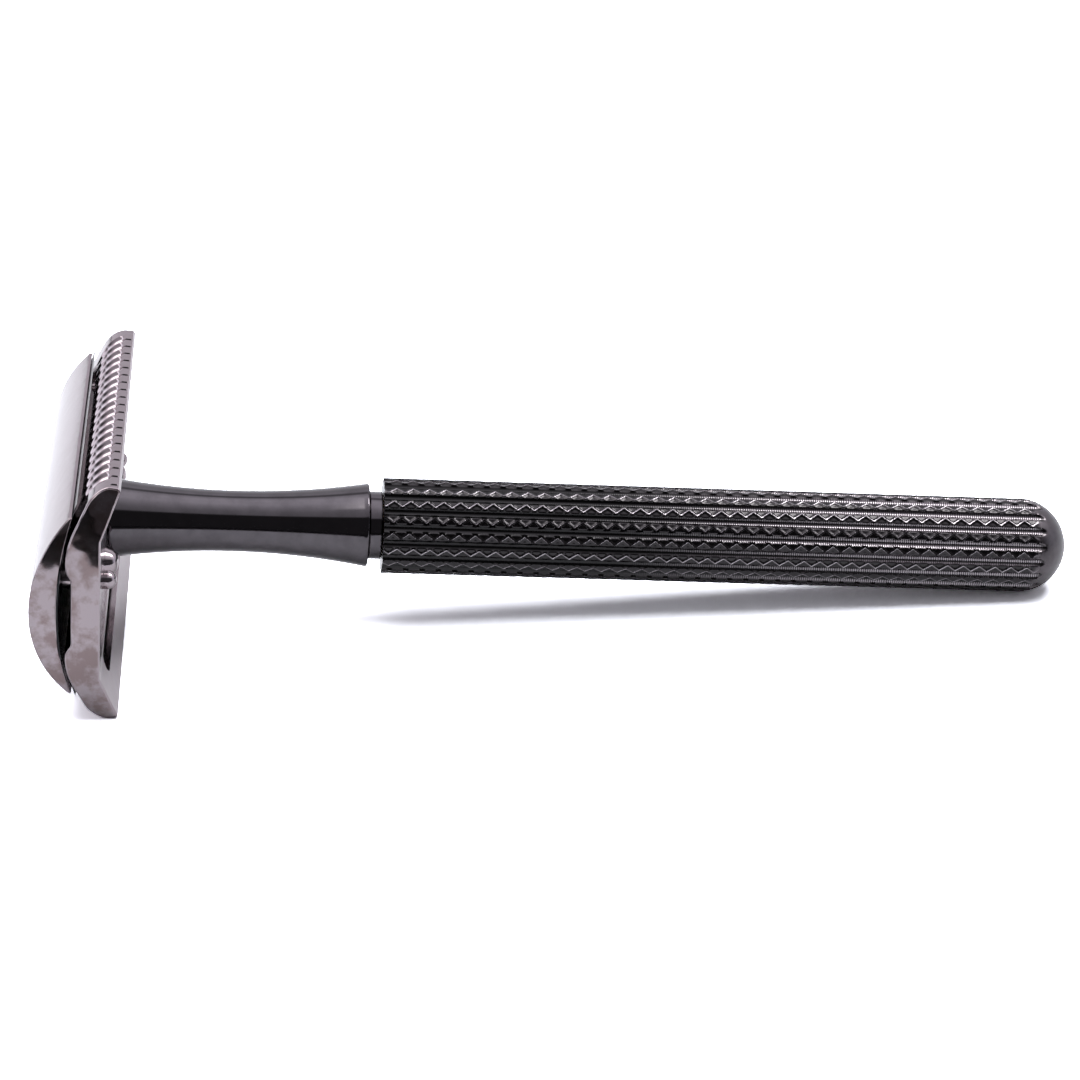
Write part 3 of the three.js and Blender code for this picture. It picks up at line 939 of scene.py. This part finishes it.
# ---- Camera, floor and light ----
def make_camera():
    """The viewing angle: a long lens, from above the handle's near side."""
    azimuth = math.radians(-4.62)
    elevation = math.radians(27.97)
    roll = math.radians(-0.3)
    distance = 317
    target = Vector(to_row([-1.18, 0, -46.02]))
    level = math.cos(elevation)
    back = Vector((math.sin(azimuth) * level, -math.cos(azimuth) * level, math.sin(elevation)))
    data = bpy.data.cameras.new("camera")
    data.sensor_width = 36
    data.lens = 97.9
    data.clip_start = 0.01
    data.clip_end = 20
    camera = bpy.data.objects.new("camera", data)
    camera.location = target + back * distance * MM
    turn = (-back).to_track_quat("-Z", "Y") @ Matrix.Rotation(roll, 3, "Z").to_quaternion()
    camera.rotation_mode = "QUATERNION"
    camera.rotation_quaternion = turn
    bpy.context.scene.collection.objects.link(camera)
    bpy.context.scene.camera = camera


def make_floor():
    """A plain white sheet on the table, far wider than the razor is long.

    It is over-exposed for the camera. Reflections see it duller, and dark close to the camera's side."""
    half = 1.5
    corners = [(-half, -half, 0), (half, -half, 0), (half, half, 0), (-half, half, 0)]
    mesh = bpy.data.meshes.new("floor")
    mesh.from_pydata(corners, [], [(0, 1, 2, 3)])
    material, tree, shader, place = new_material("white_sheet")
    shader.inputs["Metallic"].default_value = 0
    shader.inputs["Specular IOR Level"].default_value = 0
    shader.inputs["Roughness"].default_value = 1
    path = add(tree, "ShaderNodeLightPath")
    paper = mix_colour(tree, noise(tree, place, 40, 2.0), (0.86, 0.86, 0.87, 1), (0.88, 0.88, 0.88, 1))
    exposed = mix_colour(tree, path.outputs["Is Camera Ray"], paper, (3.2, 3.2, 3.25, 1))
    parts = add(tree, "ShaderNodeSeparateXYZ", {0: place})
    # Painted light: reflections see the sheet a little lighter behind the razor, and painted dark close to
    # the camera's side.
    behind = remap(tree, parts.outputs["Y"], 0.0, 0.06, 0.0, 1.0)
    lit = mix_colour(tree, behind, paper, (0.95, 0.95, 0.95, 1))
    left = remap(tree, parts.outputs["X"], -0.035, -0.085, 0.0, 0.1)
    reach = math_node(tree, "ADD", parts.outputs["Y"], left)
    in_front = remap(tree, reach, -0.085, -0.095, 0.0, 1.0)
    mirrored_sheet = mix_colour(tree, in_front, lit, (0.03, 0.03, 0.03, 1))
    seen = mix_colour(tree, path.outputs["Is Glossy Ray"], exposed, mirrored_sheet)
    tree.links.new(seen, shader.inputs["Base Color"])
    mesh.materials.append(material)
    floor = bpy.data.objects.new("floor", mesh)
    bpy.context.scene.collection.objects.link(floor)


def make_world():
    """A light tent. Reflections meet bands of light, bright sides, a lamp, and darkness at the camera."""
    world = bpy.data.worlds.new("light_tent")
    bpy.context.scene.world = world
    world.use_nodes = True
    tree = world.node_tree
    tree.nodes.clear()
    direction = add(tree, "ShaderNodeTexCoord").outputs["Generated"]
    parts = add(tree, "ShaderNodeSeparateXYZ", {0: direction})
    towards_camera = math_node(tree, "MULTIPLY", parts.outputs["Y"], -1.0)
    climb = math_node(tree, "ARCTAN2", parts.outputs["Z"], towards_camera)
    height = math_node(tree, "DIVIDE", climb, math.pi)
    bands = add(tree, "ShaderNodeValToRGB", {"Fac": height})
    light_bands(bands.color_ramp)
    sideways = remap(tree, math_node(tree, "ABSOLUTE", parts.outputs["X"]), 0.86, 0.97, 0.0, 1.0)
    on_left = remap(tree, parts.outputs["X"], -0.05, 0.05, 1.0, 0.0)
    side_colour = mix_colour(tree, on_left, (0.9, 0.92, 1.05, 1), (2.7, 2.85, 3.1, 1))
    sides = mix_colour(tree, sideways, bands.outputs["Color"], side_colour)
    left = window(tree, parts.outputs["X"], -0.8, -0.15, 0.05)
    lamp = math_node(tree, "MULTIPLY", left, window(tree, height, 0.42, 0.62, 0.02))
    studio = mix_colour(tree, lamp, sides, (4.6, 4.5, 4.6, 1))
    reflected = add(tree, "ShaderNodeBackground", {"Color": studio})
    ambient = add(tree, "ShaderNodeBackground", {"Color": (0.93, 0.92, 1.0, 1), "Strength": 0.15})
    glossy = add(tree, "ShaderNodeLightPath").outputs["Is Glossy Ray"]
    both = add(tree, "ShaderNodeMixShader", {0: glossy, 1: ambient.outputs[0], 2: reflected.outputs[0]})
    add(tree, "ShaderNodeOutputWorld", {"Surface": both.outputs[0]})


def window(tree, value, low, high, soft):
    """1 between low and high, 0 outside, with soft edges."""
    rise = remap(tree, value, low - soft, low + soft, 0.0, 1.0)
    fall = remap(tree, value, high - soft, high + soft, 1.0, 0.0)
    return math_node(tree, "MULTIPLY", rise, fall)


def light_bands(ramp):
    """What a reflection meets, from the horizon at the camera (0), over the top, to the far side (1)."""
    stops = [
        (0.0, 0.07),
        (0.265, 0.07),
        (0.285, 0.65),
        (0.36, 0.85),
        (0.44, 1.3),
        (0.52, 1.9),
        (0.62, 2.0),
        (0.68, 1.4),
        (0.7, 0.5),
        (0.73, 0.5),
        (0.76, 1.2),
        (0.84, 0.9),
        (1.0, 1.0),
    ]
    ramp.elements.remove(ramp.elements[1])
    for i, (place, value) in enumerate(stops):
        element = ramp.elements[0] if i == 0 else ramp.elements.new(place)
        element.position = place
        element.color = (value, value * 0.975, value * 1.06, 1)


def make_lights():
    """Soft boxes above: they only lighten the floor and shape the shadows."""
    for name, place, size, power in (
        ("top_box", (0.02, 0.09, 0.7), 0.75, 9.0),
        ("left_box", (-0.5, -0.1, 0.5), 0.5, 0.44),
    ):
        data = bpy.data.lights.new(name, "AREA")
        data.shape = "SQUARE"
        data.size = size
        data.energy = power
        data.color = (0.92, 0.94, 1.0)
        lamp = bpy.data.objects.new(name, data)
        lamp.location = place
        lamp.rotation_mode = "QUATERNION"
        lamp.rotation_quaternion = (-Vector(place)).to_track_quat("-Z", "Y")
        lamp.visible_glossy = False
        bpy.context.scene.collection.objects.link(lamp)
    make_strip_lamp()


def make_strip_lamp():
    """A bright strip over the grip's round end. It shows only as a reflection in the flutes."""
    data = bpy.data.lights.new("strip_lamp", "AREA")
    data.shape = "RECTANGLE"
    data.size = 0.2
    data.size_y = 0.1
    data.energy = 0.8
    lamp = bpy.data.objects.new("strip_lamp", data)
    lamp.location = (0.185, 0.05, 0.3)
    lamp.visible_diffuse = False
    lamp.visible_camera = False
    bpy.context.scene.collection.objects.link(lamp)


# ---- Assembly ----
# Colours of painted shade: in the head's recesses, and in the grip's knurl pits and flutes.
head_shade = (0.03, 0.025, 0.025, 1)
grip_shade = (0.02, 0.02, 0.02, 1)
head = polished_head("head_black_chrome", (0.33, 0.285, 0.30, 1), (0.225, 0.175, 0.175, 1), head_shade)
neck_metal = turned_metal("neck_black_chrome", (0.098, 0.09, 0.097, 1), 0.06, 0.12)
grip_metal = fluted_metal("grip_black_chrome", (0.1, 0.09, 0.095, 1), (0.4, 0.37, 0.39, 1), grip_shade)
stud_metal = turned_metal("turned_steel", (0.52, 0.52, 0.54, 1), 0.2, 0.35, 0.002)
brass = turned_metal("turned_brass", (0.60, 0.45, 0.20, 1), 0.25, 0.4, 0.003)
# Painted shade: the blade is coloured nearly black, so that it reads as the shade in the gap under the cap.
shade_dark_blade_metal = ground_steel("shade_dark_steel", (0.035, 0.035, 0.037, 1), 0.2)

make_cap(head)
make_base_plate(head)
make_threaded_stud(stud_metal)
make_pin("pin_near", "locating_pin_near", -pin_place(), head)
make_pin("pin_far", "locating_pin_far", pin_place(), head)
make_blade(shade_dark_blade_metal)
finish_piece(revolve("razor_neck", neck_outline(), 96), neck_metal, "handle", ["neck"])
finish_piece(
    revolve("collar_stud", collar_outline(), 72), neck_metal, "handle", ["shoulder_stud"]
)
make_grip(grip_metal)
bush = frame["nodes"]["grip_bush"]
bush.data.materials.clear()
bush.data.materials.append(brass)

make_camera()
make_floor()
make_world()
make_lights()
bpy.context.scene.view_settings.view_transform = "Standard"
